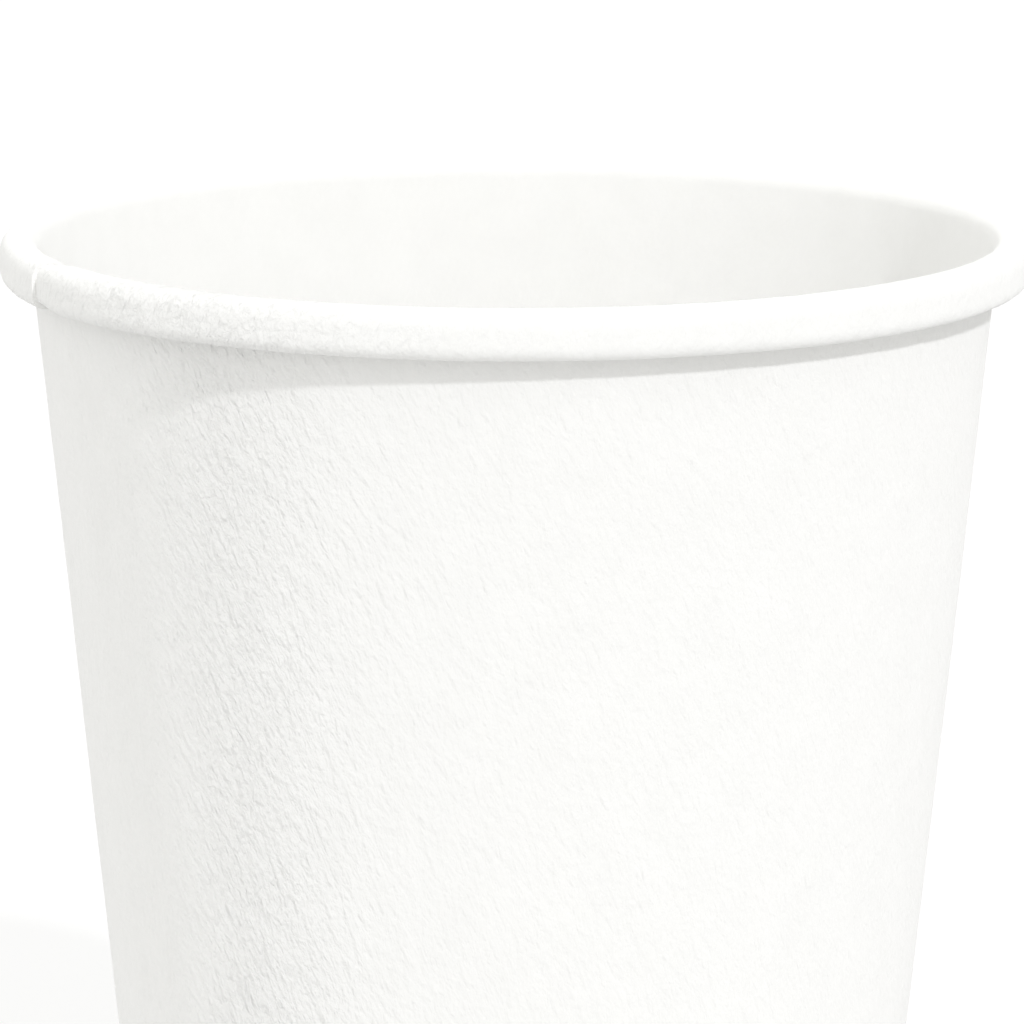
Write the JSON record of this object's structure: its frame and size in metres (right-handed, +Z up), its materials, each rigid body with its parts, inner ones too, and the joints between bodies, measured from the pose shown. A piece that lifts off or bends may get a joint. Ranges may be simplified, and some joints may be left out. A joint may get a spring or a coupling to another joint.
{
  "type": "paper coffee cup",
  "caption": "Tapered paper cup of wrapped board with a lapped side seam, a curled rim, a folded foot and a pressed base disc set up inside it.",
  "frame": {"origin": "middle of the standing ring, on the ground", "axes": "+Z up along the cup's axis, -Y towards the viewer, the side seam near -X"},
  "size_m": [0.08, 0.08, 0.092],
  "materials": {
    "cup_board": "matte",
    "base_board": "matte"
  },
  "bodies": {
    "root": {"sidewall": "cup_board", "base_disc": "base_board"}
  },
  "joints": []
}
